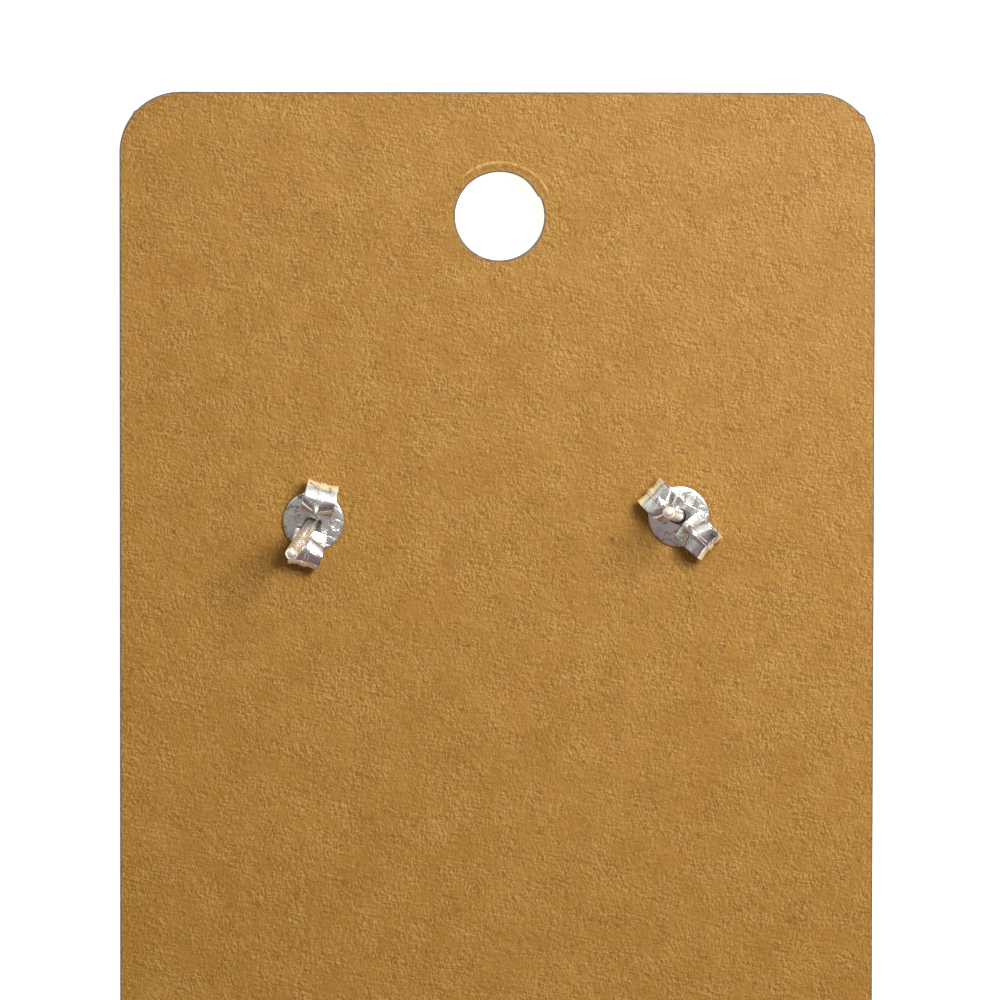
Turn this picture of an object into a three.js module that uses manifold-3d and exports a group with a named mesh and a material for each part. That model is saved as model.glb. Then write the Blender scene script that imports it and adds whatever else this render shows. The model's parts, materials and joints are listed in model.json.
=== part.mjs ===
// A pair of stud earrings on their display card, lying face down on a table.
// Each stud is a half ball on a post. The post goes through the card, and a butterfly clutch,
// folded from one strip of sheet, grips it behind the card.
//
// Millimetres, +Z up. The model lies on Z = 0, with the origin under the middle of its box.
// Seen from above, on the back of the card, +X is to the right and +Y points to the hang hole.

import * as THREE from 'three';
import { mergeVertices } from 'three/addons/utils/BufferGeometryUtils.js';
import Module from 'manifold-3d';

const wasm = await Module();
wasm.setup();

// ---- Driving dimensions ----

const card = { width: 50, height: 90, thickness: 0.45, cornerRadius: 4.05, arcSegments: 9, labelHeight: 52 };
const hangHole = { x: 0.15, fromTop: 8.25, radius: 3 };
const earHole = { radius: 0.62 };

// The half ball's centre lies in the ear hole, on the card's front face. Its flat back stands
// clear of the card by the back's distance from that centre, so the stud can lean in its hole.
const stud = {
  ballRadius: 2.15,
  backDistance: 0.45,
  backRound: 0.12,
  postRadius: 0.43,
  postAboveCard: 9.5,
  tipRound: 0.28,
  notchBelowTip: 3.6,
  notchWidth: 0.55,
  notchDepth: 0.08,
  segments: 20,
};

const clutch = {
  sheet: 0.27,
  discRadius: 2.05,
  discSegments: 32,
  bandWidth: 2.1,
  bandSteps: 6,
  holeRadius: 0.52,
  postGap: 0.06,
  cardGap: 0.04,
  ribWidth: 0.3,
  ribHeight: 0.06,
  flare: 0.12,
  sweepBack: 0.4,
};

// Centre line of one wing, from the middle of the plate outwards: how far each stretch runs,
// and how much the sheet turns along it. The wing rolls up and over, dives beside the post and
// ends in a short level foot that grips it.
const wingStretches = [
  { name: 'plate', length: 1.6, turn: 0 },
  { name: 'roll', length: 3.93, turn: 225 },
  { name: 'dive', length: 0.35, turn: 45 },
  { name: 'drop', length: 0.2, turn: 0 },
  { name: 'heel', length: 0.31, turn: -80 },
  { name: 'foot', length: 0.27, turn: 0 },
];
const bendStep = 18;

// Where each post comes through the card, from the card's middle line and its top edge, how far
// it leans from square to the card and which way, and how far its clutch is turned about it.
const earrings = [
  { side: 'left', x: -12.05, fromTop: 28.5, lean: 10.9, leanTowards: 217, clutchTurn: -14 },
  { side: 'right', x: 12.11, fromTop: 28.28, lean: 10.1, leanTowards: 119, clutchTurn: 47 },
];

// ---- Materials ----

const kraftBoard = new THREE.MeshStandardMaterial({ color: 0xb98c50, roughness: 0.9, metalness: 0 });
const polishedSilver = new THREE.MeshStandardMaterial({ color: 0xe6e3de, roughness: 0.16, metalness: 1 });
const rolledSilver = new THREE.MeshStandardMaterial({ color: 0xdedbd8, roughness: 0.22, metalness: 1 });

// ---- Solid helpers ----

const radians = THREE.MathUtils.degToRad;
const smoothstep = THREE.MathUtils.smoothstep;

function toSolid(geometry) {
  const bare = geometry.clone();
  bare.deleteAttribute('normal');
  bare.deleteAttribute('uv');
  const merged = mergeVertices(bare, 1e-5);
  return new wasm.Manifold(new wasm.Mesh({
    numProp: 3,
    vertProperties: new Float32Array(merged.attributes.position.array),
    triVerts: new Uint32Array(merged.index.array),
  }));
}

function toGeometry(solid) {
  const mesh = solid.getMesh();
  const geometry = new THREE.BufferGeometry();
  geometry.setAttribute('position', new THREE.BufferAttribute(mesh.vertProperties, 3));
  geometry.setIndex(new THREE.BufferAttribute(mesh.triVerts, 1));
  geometry.computeVertexNormals();
  return geometry;
}

function namedMesh(name, geometry, material) {
  const mesh = new THREE.Mesh(geometry, material);
  mesh.name = name;
  return mesh;
}

// A cylinder along +Z, from one height to another.
function upright(radius, bottom, top, segments) {
  const geometry = new THREE.CylinderGeometry(radius, radius, top - bottom, segments);
  geometry.rotateX(Math.PI / 2);
  geometry.translate(0, 0, (top + bottom) / 2);
  return geometry;
}

// ---- Display card: front face on Z = 0, bottom edge on Y = 0 ----

function cardGeometry() {
  const halfWidth = card.width / 2;
  const corner = card.cornerRadius;
  const outline = new THREE.Shape();
  outline.absarc(halfWidth - corner, corner, corner, -Math.PI / 2, 0);
  outline.lineTo(halfWidth, card.labelHeight);
  outline.absarc(halfWidth - corner, card.height - corner, corner, 0, Math.PI / 2);
  outline.absarc(corner - halfWidth, card.height - corner, corner, Math.PI / 2, Math.PI);
  outline.lineTo(-halfWidth, card.labelHeight);
  outline.absarc(corner - halfWidth, corner, corner, Math.PI, 1.5 * Math.PI);

  const holes = [
    { x: hangHole.x, y: card.height - hangHole.fromTop, radius: hangHole.radius },
    ...earrings.map(({ x, fromTop }) => ({ x, y: card.height - fromTop, radius: earHole.radius })),
  ];
  for (const { x, y, radius } of holes) {
    outline.holes.push(new THREE.Path().absarc(x, y, radius, 0, 2 * Math.PI));
  }
  return new THREE.ExtrudeGeometry(outline, {
    depth: card.thickness,
    curveSegments: card.arcSegments,
    bevelEnabled: false,
  });
}

// ---- Stud: half ball and post, soldered into one piece, with the ball's centre on the origin ----

function studGeometry() {
  const { ballRadius, backDistance, backRound, postRadius, tipRound } = stud;
  const tip = card.thickness + stud.postAboveCard;
  const notchMiddle = tip - stud.notchBelowTip;
  const notchHalf = stud.notchWidth / 2;
  const notchRadius = postRadius - stud.notchDepth;
  const backRadius = Math.sqrt(ballRadius ** 2 - backDistance ** 2) - backRound;
  const backAngle = Math.asin(backDistance / ballRadius);

  const profile = new THREE.Path();
  profile.absarc(0, 0, ballRadius, -Math.PI / 2, -backAngle - radians(3));
  profile.lineTo(backRadius, -backDistance);
  profile.lineTo(postRadius + backRound, -backDistance);
  profile.lineTo(postRadius, backRound - backDistance);
  profile.lineTo(postRadius, notchMiddle - notchHalf);
  profile.lineTo(notchRadius, notchMiddle - notchHalf / 2);
  profile.lineTo(notchRadius, notchMiddle + notchHalf / 2);
  profile.lineTo(postRadius, notchMiddle + notchHalf);
  profile.lineTo(postRadius, tip - tipRound);
  profile.absarc(postRadius - tipRound, tip - tipRound, tipRound, 0, Math.PI / 2);
  profile.lineTo(0, tip);

  const lathe = new THREE.LatheGeometry(cleanProfile(profile), stud.segments);
  lathe.rotateX(Math.PI / 2);
  return toGeometry(toSolid(lathe));
}

// The profile's points, with repeats left out and its two ends exactly on the axis.
function cleanProfile(profile) {
  const points = profile.getPoints(4);
  const kept = points.filter((point, i) => i === 0 || point.distanceTo(points[i - 1]) > 1e-4);
  kept[0].x = 0;
  kept[kept.length - 1].x = 0;
  return kept;
}

// ---- Butterfly clutch: plate's underside on Z = 0, wings along Y ----

// Points along a wing's centre line, each with the sheet's heading there.
function wingCentreLine() {
  const places = [{ y: 0, z: clutch.sheet / 2, heading: 0 }];
  for (const { length, turn } of wingStretches) {
    const steps = Math.max(1, Math.round(Math.abs(turn) / bendStep));
    for (let i = 0; i < steps; i++) {
      const last = places[places.length - 1];
      const halfTurn = radians(turn / steps / 2);
      const middle = last.heading + halfTurn;
      const chord = (length / steps) * (halfTurn === 0 ? 1 : Math.sin(halfTurn) / halfTurn);
      places.push({
        y: last.y + chord * Math.cos(middle),
        z: last.z + chord * Math.sin(middle),
        heading: middle + halfTurn,
      });
    }
  }
  return places;
}

// A strip that follows the wing's centre line, between two distances either side of it.
// The strip's outer side is the one that faces away from the roll's axis.
function wingStrip(width, steps, inner, outer) {
  const sideAt = (distance) => wingCentreLine().map(({ y, z, heading }) => new THREE.Vector2(
    y + distance * Math.sin(heading),
    z - distance * Math.cos(heading),
  ));
  const outline = new THREE.Shape([...sideAt(outer), ...sideAt(inner).reverse()]);
  const strip = new THREE.ExtrudeGeometry(outline, { depth: width, steps, bevelEnabled: false });
  strip.translate(0, 0, -width / 2);
  strip.applyMatrix4(new THREE.Matrix4().makeBasis(
    new THREE.Vector3(0, 1, 0),
    new THREE.Vector3(0, 0, 1),
    new THREE.Vector3(1, 0, 0),
  ));
  return strip;
}

// The rolled sheet's corners flare outwards at the bend, and sweep back from the post at its end.
function shapeWing(strip) {
  const position = strip.attributes.position;
  const rollMiddle = wingStretches[0].length;
  const wingEnd = rollMiddle + clutch.discRadius / 2;
  for (let i = 0; i < position.count; i++) {
    const across = Math.abs(position.getX(i)) / (clutch.bandWidth / 2);
    const y = position.getY(i);
    const isRolled = position.getZ(i) > 2 * clutch.sheet ? 1 : 0;
    const flare = clutch.flare * across ** 2 * smoothstep(y, rollMiddle, wingEnd);
    const sweep = clutch.sweepBack * across * (1 - smoothstep(y, rollMiddle / 3, rollMiddle)) * isRolled;
    position.setY(i, y + flare + sweep);
  }
  return strip;
}

function clutchGeometry(earring) {
  const half = clutch.sheet / 2;
  const wing = toSolid(shapeWing(wingStrip(clutch.bandWidth, clutch.bandSteps, -half, half)));
  const rib = toSolid(shapeWing(wingStrip(clutch.ribWidth, 2, 0, half + clutch.ribHeight)));
  const underPlate = new THREE.BoxGeometry(clutch.bandWidth, 3 * clutch.bandWidth, clutch.sheet);
  underPlate.translate(0, 0, -clutch.sheet / 2);
  const halfClutch = wing.add(rib).subtract(toSolid(underPlate));
  const otherHalf = halfClutch.rotate([0, 0, 180]);

  const disc = toSolid(upright(clutch.discRadius, 0, clutch.sheet, clutch.discSegments));
  const hole = toSolid(upright(clutch.holeRadius, -clutch.sheet, 2 * clutch.sheet, stud.segments));
  const folded = disc.add(halfClutch).add(otherHalf).subtract(hole);

  // The feet are notched where the leaning post passes between them.
  const postLength = stud.postAboveCard + card.thickness;
  const passage = upright(stud.postRadius + clutch.postGap, -postLength, postLength, stud.segments);
  passage.applyMatrix4(new THREE.Matrix4().makeRotationFromQuaternion(leaning(earring)));
  passage.translate(0, 0, clutch.sheet / 2);
  passage.rotateZ(-radians(earring.clutchTurn));
  return toGeometry(folded.subtract(toSolid(passage)));
}

// ---- Placing ----

// Turns +Z into the direction in which an earring's post leans.
function leaning({ lean, leanTowards }) {
  const towards = radians(leanTowards);
  const turnAxis = new THREE.Vector3(-Math.sin(towards), Math.cos(towards), 0);
  return new THREE.Quaternion().setFromAxisAngle(turnAxis, radians(lean));
}

const flatModel = new THREE.Group();
flatModel.add(namedMesh('card', cardGeometry(), kraftBoard));

for (const earring of earrings) {
  const inCard = new THREE.Group();
  inCard.position.set(earring.x, card.height - earring.fromTop, 0);

  const studMesh = namedMesh(`${earring.side}_stud`, studGeometry(), polishedSilver);
  studMesh.quaternion.copy(leaning(earring));

  // The clutch lies flat on the card, centred on the post where the post comes through its plate.
  const plateBottom = card.thickness + clutch.cardGap;
  const postDirection = new THREE.Vector3(0, 0, 1).applyQuaternion(leaning(earring));
  const throughPlate = postDirection.multiplyScalar((plateBottom + clutch.sheet / 2) / postDirection.z);
  const clutchMesh = namedMesh(`${earring.side}_clutch`, clutchGeometry(earring), rolledSilver);
  clutchMesh.position.set(throughPlate.x, throughPlate.y, plateBottom);
  clutchMesh.rotation.z = radians(earring.clutchTurn);

  inCard.add(studMesh, clutchMesh);
  flatModel.add(inCard);
}

// Lying face down, the card rests on the lower half ball and on its own bottom edge.
const lowestEarring = Math.max(...earrings.map(({ fromTop }) => fromTop));
const restingTilt = Math.asin(stud.ballRadius / (card.height - lowestEarring));
flatModel.rotation.x = restingTilt;
const topEdge = card.height * Math.cos(restingTilt);
const bottomEdge = -card.thickness * Math.sin(restingTilt);
flatModel.position.y = -(topEdge + bottomEdge) / 2;

const model = new THREE.Group();
model.add(flatModel);

export default model;
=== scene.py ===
import json
import math
import random

import bmesh
import bpy
from mathutils import Matrix, Vector


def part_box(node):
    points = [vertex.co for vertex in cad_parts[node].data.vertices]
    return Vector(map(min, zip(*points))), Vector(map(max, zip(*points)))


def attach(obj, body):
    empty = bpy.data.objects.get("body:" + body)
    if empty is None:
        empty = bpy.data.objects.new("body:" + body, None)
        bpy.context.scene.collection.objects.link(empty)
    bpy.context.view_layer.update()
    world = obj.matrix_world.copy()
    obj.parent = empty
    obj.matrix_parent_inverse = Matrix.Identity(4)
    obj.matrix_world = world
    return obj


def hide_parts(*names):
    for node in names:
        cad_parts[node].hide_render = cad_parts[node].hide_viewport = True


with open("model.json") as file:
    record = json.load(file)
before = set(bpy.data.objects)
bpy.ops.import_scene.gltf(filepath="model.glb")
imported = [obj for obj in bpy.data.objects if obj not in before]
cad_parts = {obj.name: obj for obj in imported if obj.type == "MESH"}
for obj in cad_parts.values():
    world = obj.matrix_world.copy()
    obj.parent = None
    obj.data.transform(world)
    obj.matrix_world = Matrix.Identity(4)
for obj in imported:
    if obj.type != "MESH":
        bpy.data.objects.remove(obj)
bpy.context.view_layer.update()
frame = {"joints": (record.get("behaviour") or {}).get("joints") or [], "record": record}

record = frame["record"]
mm = 0.001
random.seed(11)


# Card space is in millimetres: X across, Y up from the bottom edge, Z out of the back.
# The front face is at zero. Every piece is modelled there, upright, and then placed.
cardUp = Vector(record["mounts"][0]["axis"])
cardTilt = math.atan2(-cardUp.y, cardUp.z)
cardLow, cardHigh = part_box("card")

card = {
    "width": 50.0,
    "height": 90.0,
    "thickness": 0.45,
    "cornerRadius": 4.05,
    "cornerSteps": 48,
    "edgeRound": 0.115,
    "holeFur": 0.055,  # crushed fibres stand this far into the hang hole
    "hangHoleSteps": 128,
    "earHoleRadius": 0.62,
    "smoothAngle": 12,
    "edgeSquare": 0.97,  # a face whose normal stands less upright than this is cut edge
    "lip": {
        "from": 10, "to": 152, "width": 0.6, "height": 0.036,
        "steps": 90, "ragged": 0.022, "fade": 0.45, "sink": 0.03,
    },
    "nick": {"from": 26, "to": 62, "reach": 0.1, "step": 3},
    "nibs": [
        {"side": -1, "angle": 138.5, "height": 0.1, "reach": 0.24},
        {"side": 1, "angle": 37, "height": 0.1, "reach": 0.24},
    ],
}
earrings = {
    "left": {"x": -12.05, "fromTop": 28.5, "turn": -14},
    "right": {"x": 12.11, "fromTop": 28.28, "turn": 47},
}

cardSpace = (
    Matrix.Translation((0, cardLow.y + card["thickness"] * mm * math.sin(cardTilt), 0))
    @ Matrix.Rotation(cardTilt, 4, "X")
    @ Matrix.Scale(mm, 4)
)


def toCard(point):
    return cardSpace.inverted() @ Vector(point)


def postSpot(side):
    spot = earrings[side]
    return Vector((spot["x"], card["height"] - spot["fromTop"], 0))


def postDirection(side):
    joint = next(j for j in frame["joints"] if j["child"] == side + "_clutch")
    return (cardSpace.to_3x3().inverted() @ Vector(joint["axis"])).normalized()


# Modelling helpers

def activate(piece):
    if bpy.context.object and bpy.context.object.mode != "OBJECT":
        bpy.ops.object.mode_set(mode="OBJECT")
    bpy.ops.object.select_all(action="DESELECT")
    if piece:
        piece.select_set(True)
        bpy.context.view_layer.objects.active = piece


def start(name, primitive, **settings):
    activate(None)
    getattr(bpy.ops.mesh, "primitive_" + primitive + "_add")(**settings)
    piece = bpy.context.object
    piece.name = name
    piece.data.name = name
    return piece


def edit(piece, kind):
    activate(piece)
    bpy.ops.object.mode_set(mode="EDIT")
    bpy.ops.mesh.select_mode(type=kind)
    bpy.ops.mesh.select_all(action="DESELECT")


def pick(piece, test):
    # a vertex is tested by its place, an edge by its two ends, a face by its middle and normal
    mesh = bmesh.from_edit_mesh(piece.data)
    vertMode, edgeMode, faceMode = bpy.context.tool_settings.mesh_select_mode
    for part in mesh.faces if faceMode else mesh.edges if edgeMode else mesh.verts:
        if faceMode:
            wanted = test(part.calc_center_median(), part.normal)
        elif edgeMode:
            wanted = test(part.verts[0].co, part.verts[1].co)
        else:
            wanted = test(part.co)
        part.select_set(wanted)
    mesh.select_flush_mode()
    bmesh.update_edit_mesh(piece.data)


def leave():
    bpy.ops.object.mode_set(mode="OBJECT")


def settle(piece):
    activate(piece)
    bpy.ops.object.transform_apply(location=True, rotation=True, scale=True)


def finishWith(piece, kind, **settings):
    activate(piece)
    modifier = piece.modifiers.new(kind.title(), kind)
    for key, value in settings.items():
        setattr(modifier, key, value)
    bpy.ops.object.modifier_apply(modifier=modifier.name)


def combine(piece, tool, operation):
    finishWith(piece, "BOOLEAN", operation=operation, solver="MANIFOLD", object=tool)
    bpy.data.objects.remove(tool)


def tidyMesh(piece, gap=0.0005):
    edit(piece, "VERT")
    bpy.ops.mesh.select_all(action="SELECT")
    bpy.ops.mesh.remove_doubles(threshold=gap)
    bpy.ops.mesh.normals_make_consistent(inside=False)
    leave()


def place(piece, space, body, node, angle=38):
    settle(piece)
    piece.data.transform(space)
    piece.data.update()
    activate(piece)
    bpy.ops.object.shade_smooth_by_angle(angle=math.radians(angle))
    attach(piece, body)
    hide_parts(node)


def mark(piece, name, measure):
    # a value for each point, kept with the mesh for its material to read
    values = piece.data.attributes.new(name, "FLOAT", "POINT")
    for vert in piece.data.vertices:
        values.data[vert.index].value = measure(vert.co)


def ease(value, low, high):
    part = min(max((value - low) / (high - low), 0), 1)
    return part * part * (3 - 2 * part)


# Shader maths: a wire is a node's output, and a sum on wires adds its Math nodes.

class Wire:
    def __init__(self, finish, socket):
        self.finish = finish
        self.socket = socket

    def sum(self, operation, first, second):
        return self.finish.node("Math", {"operation": operation}, {0: first, 1: second})

    def __add__(self, other):
        return self.sum("ADD", self, other)

    def __sub__(self, other):
        return self.sum("SUBTRACT", self, other)

    def __rsub__(self, other):
        return self.sum("SUBTRACT", other, self)

    def __mul__(self, other):
        return self.sum("MULTIPLY", self, other)

    def __abs__(self):
        return self.sum("ABSOLUTE", self, 0)

    def between(self, low, high):
        settings = {"interpolation_type": "SMOOTHSTEP"}
        return self.finish.node("MapRange", settings, {"Value": self, "From Min": low, "From Max": high})

    __radd__ = __add__
    __rmul__ = __mul__


class Finish:
    def __init__(self, owner):
        owner.use_nodes = True
        self.tree = owner.node_tree
        self.tree.nodes.clear()

    def node(self, kind, settings=None, values=None, output=0):
        made = self.tree.nodes.new("ShaderNode" + kind)
        for key, value in (settings or {}).items():
            if key == "stops":
                while len(made.color_ramp.elements) < len(value):
                    made.color_ramp.elements.new(1)
                for element, (position, colour) in zip(made.color_ramp.elements, value):
                    element.position = position
                    element.color = (*colour, 1)
            else:
                setattr(made, key, value)
        for key, value in (values or {}).items():
            if isinstance(value, Wire):
                self.tree.links.new(value.socket, made.inputs[key])
            elif isinstance(value, tuple) and made.inputs[key].type == "RGBA":
                made.inputs[key].default_value = (*value, 1)
            else:
                made.inputs[key].default_value = value
        return Wire(self, made.outputs[output]) if made.outputs else None

    def place(self):
        return self.node("TexCoord", output="Object")

    def turned(self, where, angle, length):
        # a pattern drawn out to that many times its width along a direction on the surface
        values = {"Vector": where, "Rotation": (0, 0, math.radians(angle)), "Scale": (length, 1, 1)}
        return self.node("Mapping", {"vector_type": "TEXTURE"}, values)

    def noise(self, where, scale, detail=2.0, roughness=0.5, distortion=0.0, output=0):
        values = {"Vector": where, "Scale": scale, "Detail": detail}
        values.update({"Roughness": roughness, "Distortion": distortion})
        return self.node("TexNoise", {}, values, output)

    def mixed(self, share, first, second):
        return self.node("Mix", {"data_type": "RGBA"}, {0: share, 6: first, 7: second}, 2)

    def ramp(self, value, stops):
        return self.node("ValToRGB", {"stops": stops}, {"Fac": value})

    def bumped(self, height, strength, distance):
        return self.node("Bump", {}, {"Height": height, "Strength": strength, "Distance": distance})

    def surface(self, **values):
        names = {key.replace("_", " "): value for key, value in values.items()}
        shader = self.node("BsdfPrincipled", {}, names)
        self.node("OutputMaterial", {}, {"Surface": shader})


def newFinish(name):
    material = bpy.data.materials.new(name)
    return material, Finish(material)


# Kraft board

kraft = {
    "deep": (0.197, 0.083, 0.007),
    "body": (0.288, 0.139, 0.018),
    "pale": (0.408, 0.236, 0.062),
    "fleck": (0.12, 0.046, 0.006),
    "rust": (0.31, 0.125, 0.022),
    "fibres": [(38, 3.6, 4700), (62, 4.0, 5600), (104, 3.0, 6500), (-12, 3.2, 5200)],
    # the next two set the painted light and shade on the fibres: its step towards the light, and its
    # strength
    "reliefStep": (0.00005, 0.00004, 0.0),
    "relief": 1.5,
    "clouding": 0.42,
    "curl": 0.00035,
    "bump": (0.22, 0.000022),
    "cutEdge": [(0.3, (0.10, 0.078, 0.062)), (0.7, (0.19, 0.155, 0.125))],
    "pulp": [(0.3, (0.20, 0.092, 0.018)), (0.52, (0.31, 0.157, 0.030)), (0.82, (0.54, 0.34, 0.13))],
}


def makeKraft():
    material, f = newFinish("kraft_board")
    where = f.place()
    drift = f.noise(where, 1500, 2, output=1)
    bent = f.node("VectorMath", {"operation": "SCALE"}, {0: drift, "Scale": kraft["curl"]})
    curled = f.node("VectorMath", {"operation": "ADD"}, {0: where, 1: bent})
    beside = f.node("VectorMath", {"operation": "ADD"}, {0: curled, 1: kraft["reliefStep"]})

    # painted light and shade: each lay of fibres is painted paler along one side and darker along the
    # other, as if lit from that side, from its height here minus its height a small step beside
    relief = 0.0
    height = 0.0
    for angle, length, scale in kraft["fibres"]:
        here = f.noise(f.turned(curled, angle, length), scale, 2, 0.6)
        there = f.noise(f.turned(beside, angle, length), scale, 2, 0.6)
        relief = (here - there) + relief
        height = here + height
    patch = f.noise(where, 650, 2).between(0.32, 0.68)
    cloud = f.noise(where, 380, 4, 0.62)
    tone = 0.5 + relief * (0.5 + patch * 0.75) * kraft["relief"] + (cloud - 0.5) * kraft["clouding"]

    # a few long pale fibres follow the level lines of a slow noise
    line = 1 - abs(f.noise(where, 520, 1.5) - 0.5).between(0.0, 0.016)
    hair = line * f.noise(where, 900, 1).between(0.6, 0.68)
    spot = f.node("TexVoronoi", {}, {"Vector": curled, "Scale": 700.0})
    fleck = (1 - spot.between(0.04, 0.12)) * f.noise(where, 300, 1).between(0.55, 0.66)

    # creases are thin dark dashes, and they come in clusters
    crease = 1 - abs(f.noise(f.turned(curled, 35, 1.8), 2600, 3, 0.6) - 0.5).between(0.0, 0.035)
    crease = crease * f.noise(where, 1300, 2).between(0.5, 0.62)
    warm = f.noise(where, 240, 2).between(0.5, 0.72)

    colour = f.ramp(tone, [(0.12, kraft["deep"]), (0.5, kraft["body"]), (0.88, kraft["pale"])])
    colour = f.mixed(warm * 0.16, colour, kraft["rust"])
    colour = f.mixed(crease * 0.5, colour, kraft["fleck"])
    colour = f.mixed(hair * 0.4, colour, kraft["pale"])
    colour = f.mixed(fleck * 0.7, colour, kraft["fleck"])
    f.surface(
        Base_Color=colour,
        Roughness=0.46 + patch * 0.08,
        Specular_IOR_Level=0.26,
        Normal=f.bumped(height + hair - crease, *kraft["bump"]),
    )
    return material


def makeCutEdge():
    # the guillotined edge is greyer, with the plies showing as fine lines
    material, f = newFinish("kraft_cut_edge")
    where = f.place()
    plies = f.noise(f.turned(where, 20, 6), 3200, 3)
    f.surface(
        Base_Color=f.ramp(plies, kraft["cutEdge"]),
        Roughness=0.82 + plies * 0.1,
        Specular_IOR_Level=0.25,
        Normal=f.bumped(plies, 0.5, 0.00004),
    )
    return material


def makeTornPulp():
    # paper crushed up by the punch, with a painted highlight along its outer crest
    material, f = newFinish("kraft_crushed_pulp")
    where = f.place()
    pulp = f.noise(where, 4200, 4, 0.65, 0.6)
    crest = f.node("Attribute", {"attribute_name": "crest"}, output=2)
    tone = pulp + crest * 0.24 - 0.04
    f.surface(
        Base_Color=f.ramp(tone, kraft["pulp"]),
        Roughness=0.72 + pulp * 0.15,
        Specular_IOR_Level=0.3,
        Normal=f.bumped(pulp, 0.6, 0.00005),
    )
    return material


# Silver

silver = {
    "bright": (0.93, 0.915, 0.895),
    "dull": (0.72, 0.70, 0.675),
    "tarnish": (0.13, 0.115, 0.105),
    # the cream of the painted reflection of the card
    "raw": (0.90, 0.76, 0.46),
    "scratchAngles": [8, 61, 104, 149],
    "scratchLength": 14,
    "bumpDepth": 0.00002,
}


def makeSilver(name, roughness, wear):
    material, f = newFinish(name)
    where = f.place()
    scratch = 0.0
    for order, angle in enumerate(silver["scratchAngles"]):
        lay = f.turned(where, angle, silver["scratchLength"])
        scratch = f.noise(lay, 2300 + 500 * order, 2, 0.6).between(0.6, 0.7) + scratch
    cloud = f.noise(where, 1100, 3, 0.55)
    # handling left thin wandering dark marks
    swirl = 1 - abs(f.noise(where, 1150, 2, 0.55, 0.8) - 0.5).between(0.004, 0.03)
    swirl = swirl * f.noise(where, 620, 1).between(0.42, 0.5) * wear
    dents = f.noise(where, 900, 2, 0.5)
    stain = cloud.between(0.42, 0.8) * wear
    # painted shade: the hollows under the wings and round the post passage, and the stud's foot against
    # the card, are darkened towards near black where shade falls; the handling marks above are real
    shelter = f.node("Attribute", {"attribute_name": "shelter"}, output=2)
    marks_and_painted_shade = (shelter * 1.5 - cloud * 0.7).between(0.1, 0.75) + swirl * 0.85
    colour = f.mixed(stain, silver["bright"], silver["dull"])
    colour = f.mixed(scratch * 0.2 * wear, colour, silver["dull"])
    # painted reflection: the outer side of the rolls and the stud's post are given a cream, less
    # metallic colour that stands in for the kraft card seen in them
    raw = f.node("Attribute", {"attribute_name": "raw"}, output=2)
    colour = f.mixed(raw, colour, silver["raw"])
    dulling = cloud * 0.07 * wear + scratch * 0.06 * wear + marks_and_painted_shade * 0.2 + raw * 0.25
    f.surface(
        Base_Color=f.mixed(marks_and_painted_shade, colour, silver["tarnish"]),
        Metallic=1.0 - raw * 0.72,
        Roughness=roughness + dulling,
        Normal=f.bumped(dents * 1.3 + scratch * -0.3, 0.45 + 0.35 * wear, silver["bumpDepth"]),
    )
    return material


# Display card

holeBox = record["physics"]["openings"][0]["box_m"]
holeMiddle = toCard([(low + high) / 2 for low, high in zip(*holeBox)])
holeMiddle.z = 0
hangHoleRadius = (cardHigh.x - cardLow.x) * 0.06 / mm  # three millimetres on a card fifty wide


def makeCard():
    width, height, thick = card["width"], card["height"], card["thickness"]
    board = start("display_card", "cube", size=1, location=(0, height / 2, thick / 2))
    board.scale = (width, height, thick)
    settle(board)
    edit(board, "EDGE")
    pick(board, lambda a, b: abs(a.z - b.z) > thick / 2)
    bpy.ops.mesh.bevel(offset=card["cornerRadius"], segments=card["cornerSteps"], affect="EDGES")

    # the die left a small nib on each upper corner
    bpy.ops.mesh.select_mode(type="VERT")
    for nib in card["nibs"]:
        inset = card["cornerRadius"]
        centre = Vector((nib["side"] * (width / 2 - inset), height - inset, 0))
        outward = Vector((math.cos(math.radians(nib["angle"])), math.sin(math.radians(nib["angle"])), 0))
        peak = centre + outward * inset
        for share, reach in ((0.35, 1.0), (0.65, 0.45)):
            near = nib["reach"] * reach
            pick(board, lambda co: (Vector((co.x, co.y, 0)) - peak).length < near)
            bpy.ops.transform.translate(value=outward * nib["height"] * share)
    leave()

    punch = start("punch", "cylinder", vertices=card["hangHoleSteps"],
                  radius=hangHoleRadius - card["holeFur"], depth=4, location=holeMiddle)
    combine(board, punch, "DIFFERENCE")

    # the punch tore a little of the rim and left it standing into the hole
    nick = card["nick"]
    edit(board, "VERT")
    for turn in range(nick["from"], nick["to"], nick["step"]):
        low, high = math.radians(turn), math.radians(turn + nick["step"])
        fade = 1 - ease(turn, nick["from"] + 6, nick["to"])
        middle = (low + high) / 2
        inward = Vector((-math.cos(middle), -math.sin(middle), 0)) * nick["reach"] * fade

        def onRim(co):
            arm = Vector((co.x, co.y, 0)) - Vector((holeMiddle.x, holeMiddle.y, 0))
            return arm.length < hangHoleRadius + 0.02 and low <= math.atan2(arm.y, arm.x) < high

        pick(board, onRim)
        bpy.ops.transform.translate(value=inward)
    leave()
    for side in earrings:
        needle = start("needle", "cylinder", vertices=48, radius=card["earHoleRadius"],
                       depth=4, location=postSpot(side))
        combine(board, needle, "DIFFERENCE")
    finishWith(board, "BEVEL", width=card["edgeRound"], segments=3, limit_method="ANGLE",
               angle_limit=math.radians(50), use_clamp_overlap=False)
    tidyMesh(board)
    return board


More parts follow.
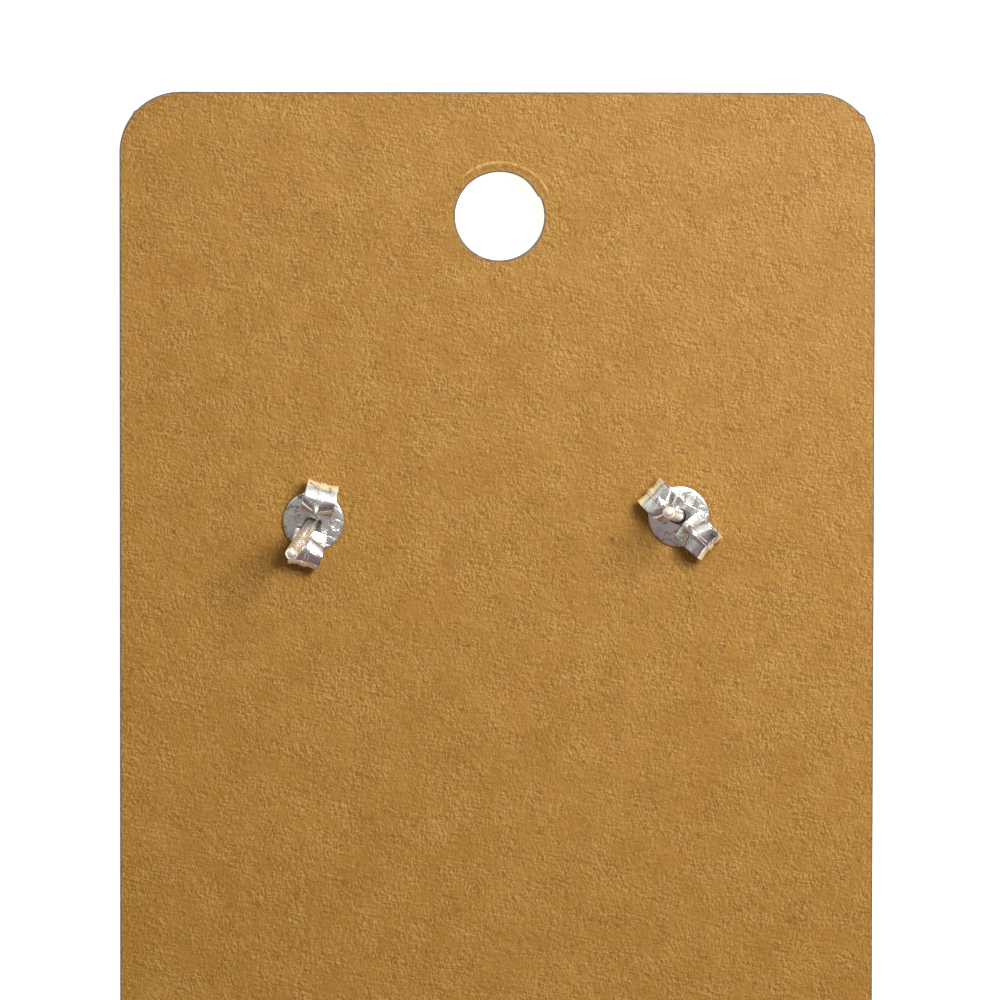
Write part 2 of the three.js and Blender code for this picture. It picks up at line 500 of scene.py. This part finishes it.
def makeLip():
    # a flat crescent of crushed paper round the upper part of the hang hole
    lip = card["lip"]
    inner = hangHoleRadius + card["edgeRound"]
    ring = start("lip", "plane", size=1)
    ring.scale = (lip["width"], 0.001, 1)
    ring.location = (inner + lip["width"] / 2, 0, 0)
    settle(ring)
    edit(ring, "EDGE")
    bpy.ops.mesh.select_all(action="SELECT")
    bpy.ops.mesh.delete(type="ONLY_FACE")
    pick(ring, lambda a, b: max(a.y, b.y) < 0)
    bpy.ops.mesh.select_all(action="INVERT")
    bpy.ops.mesh.delete(type="EDGE")
    bpy.ops.mesh.select_all(action="SELECT")
    bpy.ops.mesh.subdivide(number_cuts=5)
    bpy.ops.mesh.select_all(action="SELECT")
    bpy.ops.mesh.spin(steps=lip["steps"], angle=math.radians(lip["from"] - lip["to"]),
                      center=(0, 0, 0), axis=(0, 0, 1))
    leave()

    # it thins to nothing at both ends, and its outer rim is ragged
    low, high = math.radians(lip["from"]), math.radians(lip["to"])
    rims = {}
    for vert in ring.data.vertices:
        angle = math.atan2(vert.co.y, vert.co.x)
        across = (vert.co.length - inner) / lip["width"]
        ends = ease(angle, 0, lip["fade"]) * (1 - ease(angle, high - low - lip["fade"], high - low))
        step = round(angle * 40)
        rims.setdefault(step, random.gauss(0, lip["ragged"]))
        reach = inner + lip["width"] * across * (0.35 + 0.65 * ends) + rims[step] * across
        hump = ease(across, -0.3, 0.75) * (1 - ease(across, 0.78, 1.0))
        direction = Vector((math.cos(angle + low), math.sin(angle + low), 0))
        vert.co = direction * reach
        vert.co.z = -lip["sink"] + (lip["sink"] + lip["height"]) * hump * (0.25 + 0.75 * ends)
    ring.data.transform(Matrix.Translation(holeMiddle + Vector((0, 0, card["thickness"]))))
    finishWith(ring, "SOLIDIFY", thickness=0.02, offset=-1)
    tidyMesh(ring, 0.0002)
    # the outer crest is marked for a painted highlight, where the light falls on it
    crest = inner + lip["width"] * 0.8

    def onPaintedHighlightCrest(co):
        return ease((Vector((co.x, co.y, 0)) - holeMiddle).length, crest - 0.12, crest)

    mark(ring, "crest", onPaintedHighlightCrest)
    return ring


def joinPieces(keep, others):
    activate(keep)
    for other in others:
        other.select_set(True)
    bpy.ops.object.join()
    return keep


board = makeCard()
board.data.materials.clear()
for material in (makeKraft(), makeCutEdge(), makeTornPulp()):
    board.data.materials.append(material)
for face in board.data.polygons:
    face.material_index = 1 if abs(face.normal.z) < card["edgeSquare"] else 0
lipPiece = makeLip()
for material in list(board.data.materials):
    lipPiece.data.materials.append(material)
for face in lipPiece.data.polygons:
    face.material_index = 2
joinPieces(board, [lipPiece])
place(board, cardSpace, "card_and_studs", "card", angle=card["smoothAngle"])
print("display card made")


# Studs

stud = {
    "ballRadius": 2.15,
    "backDistance": 0.45,
    "backRound": 0.12,
    "postRadius": 0.43,
    "postTop": 9.95,
    "tipRound": 0.4,
    "solder": 0.22,
    "notch": {"belowTip": 3.6, "width": 0.55, "depth": 0.08},
    "segments": 96,
    "roughness": 0.17,
    "wear": 0.6,
}


def studProfile():
    # radius and height, from the front of the half ball up to the post's tip
    ball, back = stud["ballRadius"], -stud["backDistance"]
    rings = []
    rimAngle = math.asin(stud["backDistance"] / ball)
    steps = 26
    for step in range(1, steps):
        angle = math.pi / 2 * (1 - step / steps) + rimAngle * step / steps
        rings.append((ball * math.cos(angle), -ball * math.sin(angle)))
    rim = ball * math.cos(rimAngle)
    for step in range(1, 6):
        turn = math.pi / 2 * step / 5
        soften = stud["backRound"]
        rings.append((rim - soften + soften * math.cos(turn), back - soften + soften * math.sin(turn)))
    radius, fillet = stud["postRadius"], stud["solder"]
    for step in range(7):
        turn = math.pi / 2 * step / 6
        rings.append((radius + fillet * (1 - math.sin(turn)), back + fillet * (1 - math.cos(turn))))
    notch = stud["notch"]
    middle = stud["postTop"] - notch["belowTip"]
    for step in range(13):
        along = (step / 12 - 0.5) * notch["width"]
        deep = notch["depth"] * (0.5 + 0.5 * math.cos(math.pi * (step / 6 - 1)))
        rings.append((radius - deep, middle + along))
    tip = stud["tipRound"]
    for step in range(8):
        turn = math.pi / 2 * step / 8
        rings.append((radius - tip + tip * math.cos(turn), stud["postTop"] - tip + tip * math.sin(turn)))
    return rings


def turnOnLathe(name, rings, segments):
    # one ring of edges is drawn up along the profile, and both ends are closed
    radius, height = rings[0]
    piece = start(name, "circle", vertices=segments, radius=radius,
                  location=(0, 0, height), fill_type="NGON")
    settle(piece)
    edit(piece, "EDGE")
    bpy.ops.mesh.select_all(action="SELECT")
    for nextRadius, nextHeight in rings[1:]:
        bpy.ops.mesh.extrude_edges_move(TRANSFORM_OT_translate={"value": (0, 0, nextHeight - height)})
        factor = nextRadius / radius
        bpy.ops.transform.resize(value=(factor, factor, 1), center_override=(0, 0, nextHeight))
        radius, height = nextRadius, nextHeight
    bpy.ops.mesh.edge_face_add()
    leave()
    tidyMesh(piece, 0.0001)
    return piece


def leanTo(direction):
    return Vector((0, 0, 1)).rotation_difference(direction).to_matrix().to_4x4()


studSilver = makeSilver("stud_silver", stud["roughness"], stud["wear"])
for side in earrings:
    piece = turnOnLathe(side + "_stud_polished", studProfile(), stud["segments"])
    piece.data.materials.append(studSilver)
    low = -stud["backDistance"]
    # painted reflection of the card on the post, growing towards its tip
    mark(piece, "raw", lambda co: 0.3 * ease(co.z, 1.5, 4.0))
    # painted shade on the stud's foot, where it meets the card and passes under the clutch
    mark(piece, "shelter", lambda co: ease(co.z, low - 0.02, low + 0.1) * (1 - ease(co.z, 0.6, 1.2)))
    space = cardSpace @ Matrix.Translation(postSpot(side)) @ leanTo(postDirection(side))
    place(piece, space, "card_and_studs", side + "_stud")
print("studs made")


# Butterfly clutches

clutch = {
    "sheet": 0.27,
    "discRadius": 2.05,
    "discRound": 0.13,
    "dome": 0.13,
    "bandWidth": 2.1,
    "bandCuts": 13,
    "cardGap": 0.04,
    "passage": 0.49,
    "rib": {"width": 0.3, "height": 0.075, "groove": 0.02},
    "edgeRound": 0.075,
    "rings": {
        "left": [(1.5, -0.25, 0.36), (0.98, -1.3, 0.3)],
        "right": [(0.78, 1.15, 0.33), (1.5, 0.42, 0.3)],
        "wire": 0.05,
    },
    "flare": 0.12,
    "sweepBack": 0.4,
    "uneven": 0.2,  # the lower wing was folded this much further out
    "roughness": 0.17,
    "wear": 1.0,
    "wing": [
        {"length": 1.56, "turn": 0},
        {"length": 3.93, "turn": 225},
        {"length": 0.35, "turn": 45},
        {"length": 0.24, "turn": 0},
        {"length": 0.31, "turn": -80},
        {"length": 0.27, "turn": 0},
    ],
}


def makeWing():
    first = clutch["wing"][0]["length"]
    middle = clutch["sheet"] / 2
    wing = start("wing", "plane", size=1, location=(0, first / 2, middle))
    wing.scale = (clutch["bandWidth"], first, 1)
    settle(wing)
    edit(wing, "EDGE")
    pick(wing, lambda a, b: abs(a.y - b.y) < 0.01)
    bpy.ops.mesh.subdivide(number_cuts=clutch["bandCuts"])
    pick(wing, lambda a, b: abs(a.x) < 0.01 and abs(b.x) < 0.01)
    bpy.ops.mesh.bevel(offset=clutch["rib"]["width"] / 2, segments=6, affect="EDGES")

    # the strip is drawn out from its end: straight stretches are extruded and bends are spun
    pick(wing, lambda a, b: min(a.y, b.y) > first - 0.01)
    where = Vector((0, first, middle))
    heading = 0.0
    for stretch in clutch["wing"][1:]:
        ahead = Vector((0, math.cos(heading), math.sin(heading)))
        if stretch["turn"]:
            turn = math.radians(stretch["turn"])
            centre = where + Vector((0, -ahead.z, ahead.y)) * (stretch["length"] / turn)
            steps = max(4, round(abs(stretch["turn"]) / 6))
            bpy.ops.mesh.spin(steps=steps, angle=-turn, center=centre, axis=(1, 0, 0))
            where = centre + Matrix.Rotation(turn, 3, "X") @ (where - centre)
            heading += turn
        else:
            bpy.ops.mesh.extrude_edges_move(TRANSFORM_OT_translate={"value": ahead * stretch["length"]})
            where = where + ahead * stretch["length"]
    leave()

    # pressing left the outer corners flared and the rolled end swept back from the middle
    for vert in wing.data.vertices:
        across = vert.co.x
        outer = ease(vert.co.y, first, first + 1)
        rolled = ease(vert.co.z, middle + 0.75, middle + 1.1) * (1 - ease(vert.co.y, 0.9, 2.1))
        vert.co.y += clutch["flare"] * across * across * outer
        vert.co.y += clutch["sweepBack"] * abs(across) * rolled
    return wing


def raiseRib(wing):
    # two fine ridges with a groove between them run the length of the strip
    rib = clutch["rib"]
    step = rib["width"] / 6
    edit(wing, "VERT")
    for column in (-2, -1, 0, 1, 2):
        height = rib["groove"] if column == 0 else rib["height"]
        pick(wing, lambda co: abs(co.x - column * step) < step / 4)
        bpy.ops.transform.shrink_fatten(value=height)
    leave()


def makeClutch(side):
    wing = makeWing()
    tidyMesh(wing, 0.0002)
    raiseRib(wing)
    finishWith(wing, "SOLIDIFY", thickness=clutch["sheet"] - 0.01, offset=0, use_even_offset=True)
    finishWith(wing, "BEVEL", width=clutch["edgeRound"], segments=3, limit_method="ANGLE",
               angle_limit=math.radians(60))
    other = wing.copy()
    other.data = wing.data.copy()
    bpy.context.scene.collection.objects.link(other)
    outward = Matrix.Translation((0, -clutch["uneven"], 0))
    other.data.transform(outward @ Matrix.Rotation(math.pi, 4, "Z"))

    disc = start(side + "_clutch_folded", "cylinder", vertices=96, radius=clutch["discRadius"],
                 depth=clutch["sheet"], location=(0, 0, clutch["sheet"] / 2))
    settle(disc)
    edit(disc, "EDGE")
    pick(disc, lambda a, b: abs(a.z - b.z) < 0.01)
    bpy.ops.mesh.bevel(offset=clutch["discRound"], segments=5, affect="EDGES")
    leave()
    combine(disc, wing, "UNION")
    combine(disc, other, "UNION")

    # plain rings pressed up on the disc, at places given square to the card
    squared = Matrix.Rotation(math.radians(-earrings[side]["turn"]), 4, "Z")
    for x, y, radius in clutch["rings"][side]:
        spot = squared @ Vector((x, y, clutch["sheet"]))
        ring = start("ring", "torus", major_segments=56, minor_segments=10, major_radius=radius,
                     minor_radius=clutch["rings"]["wire"], location=spot)
        settle(ring)
        combine(disc, ring, "UNION")

    # the disc is dished a little, so its rim stands on the card and its middle is clear of it
    for vert in disc.data.vertices:
        out = min((vert.co.x ** 2 + vert.co.y ** 2) / clutch["discRadius"] ** 2, 1)
        vert.co.z += clutch["dome"] * (1 - out) * (1 - ease(vert.co.z, 0.35, 0.7))

    # the post's passage leans with the post
    spot, direction = postSpot(side), postDirection(side)
    base = card["thickness"] + clutch["cardGap"]
    centre = spot + direction * ((base + clutch["sheet"] / 2) / direction.z)
    turn = Matrix.Rotation(math.radians(earrings[side]["turn"]), 4, "Z")
    space = Matrix.Translation((centre.x, centre.y, base)) @ turn
    drill = start("drill", "cylinder", vertices=64, radius=clutch["passage"], depth=9)
    drill.data.transform(space.inverted() @ Matrix.Translation(centre) @ leanTo(direction))
    combine(disc, drill, "DIFFERENCE")

    # painted shade under the wings and round the post passage
    def shelter(co):
        out = math.hypot(co.x, co.y)
        under = 1 - ease(out, 0.45, 1.35)
        return under * (1 - ease(co.z, 0.95, 1.35)) * ease(co.z, 0.1, 0.3)

    # painted reflection of the card on the outer ends of the wings and on the rolled inner edges
    def raw(co):
        out = co.y if co.y > 0 else -co.y - clutch["uneven"]
        reach = clutch["wing"][0]["length"] + 1
        curled = 0.24 * (1 - ease(out, 0.5, 0.75)) * ease(co.z, 0.85, 1.15)
        return max(ease(out, reach - 0.2, reach + 0.03) * ease(co.z, 0.3, 0.6), curled)

    mark(disc, "shelter", shelter)
    mark(disc, "raw", raw)
    return disc, cardSpace @ space


clutchSilver = makeSilver("clutch_silver", clutch["roughness"], clutch["wear"])
for side in earrings:
    piece, space = makeClutch(side)
    piece.data.materials.clear()
    piece.data.materials.append(clutchSilver)
    place(piece, space, side + "_clutch", side + "_clutch")
print("clutches made")


# Studio

studio = {
    "floorSize": 6.0,
    "floorColour": (0.9, 0.9, 0.895),
    "floorGlow": 0.8,  # it is a light table, so the card throws next to no shadow
    "tent": 0.59,
    "pale": (1.42, 1.42, 1.36),
    "zenith": (0.56, 0.565, 0.52),
    "foot": (0.36, 0.24, 0.25),
    "low": (0.05, 0.035, 0.04),
    "keyPlace": (0.058, 0.075, 0.155),
    "keyAim": (0.005, 0.01, 0.0),
    "keySize": 0.055,
    "keyPower": 0.38,
}


def makeFloor():
    floor = start("floor", "grid", x_subdivisions=12, y_subdivisions=12, size=studio["floorSize"])
    material, f = newFinish("pale_floor")
    cloud = f.noise(f.place(), 2.5, 3)
    colour = f.mixed(cloud * 0.4, studio["floorColour"], (0.93, 0.93, 0.93))
    f.surface(
        Base_Color=colour,
        Roughness=0.7 + cloud * 0.1,
        Specular_IOR_Level=0.2,
        Emission_Color=(1.0, 1.0, 1.0),
        Emission_Strength=studio["floorGlow"],
    )
    floor.data.materials.append(material)


def makeLights():
    target = Vector(studio["keyAim"])
    light = bpy.data.lights.new("soft_key", "AREA")
    light.size = studio["keySize"]
    light.energy = studio["keyPower"]
    lamp = bpy.data.objects.new("soft_key", light)
    lamp.location = studio["keyPlace"]
    lamp.rotation_euler = (Vector(studio["keyPlace"]) - target).to_track_quat("Z", "Y").to_euler()
    bpy.context.scene.collection.objects.link(lamp)
    lamp.visible_camera = False

    # a light tent, white beyond the card's top and grey overhead, dim towards its foot and low down
    world = bpy.data.worlds.new("light_tent")
    bpy.context.scene.world = world
    f = Finish(world)
    way = f.node("TexCoord", output="Generated")
    x, y, z = (f.node("SeparateXYZ", {}, {0: way}, axis) for axis in range(3))
    beyond = (y + x * 0.25).between(0.0, 0.5)
    shade = f.mixed((0.05 - y - x * 0.25).between(0.0, 0.75), studio["zenith"], studio["foot"])
    glow = f.mixed(beyond, shade, studio["pale"])
    glow = f.mixed(z.between(0.06, 0.34), studio["low"], glow)
    sky = f.node("Background", {}, {"Color": glow, "Strength": studio["tent"]})
    f.node("OutputWorld", {}, {"Surface": sky})


view = {
    "distance": 1.2,
    "lens": 652.0,
    "aim": (0.2, 62.85, 0.45),
    "tilt": 7.3,
    "roll": 0.1,
}


def makeCamera():
    data = bpy.data.cameras.new("camera")
    camera = bpy.data.objects.new("camera", data)
    bpy.context.scene.collection.objects.link(camera)
    bpy.context.scene.camera = camera
    data.lens = view["lens"]
    data.sensor_width = 36
    data.clip_start, data.clip_end = 0.05, 10
    tilt = math.radians(view["tilt"])
    back = (cardSpace.to_3x3() @ Vector((0, math.sin(tilt), math.cos(tilt)))).normalized()
    up = (cardSpace.to_3x3() @ Vector((0, math.cos(tilt), -math.sin(tilt)))).normalized()
    turn = Matrix((up.cross(back), up, back)).transposed().to_4x4()
    aim = cardSpace @ Vector(view["aim"])
    spin = Matrix.Rotation(math.radians(view["roll"]), 4, "Z")
    camera.matrix_world = Matrix.Translation(aim + back * view["distance"]) @ turn @ spin


makeFloor()
makeLights()
makeCamera()
bpy.context.scene.view_settings.view_transform = "Standard"
print("studio ready")
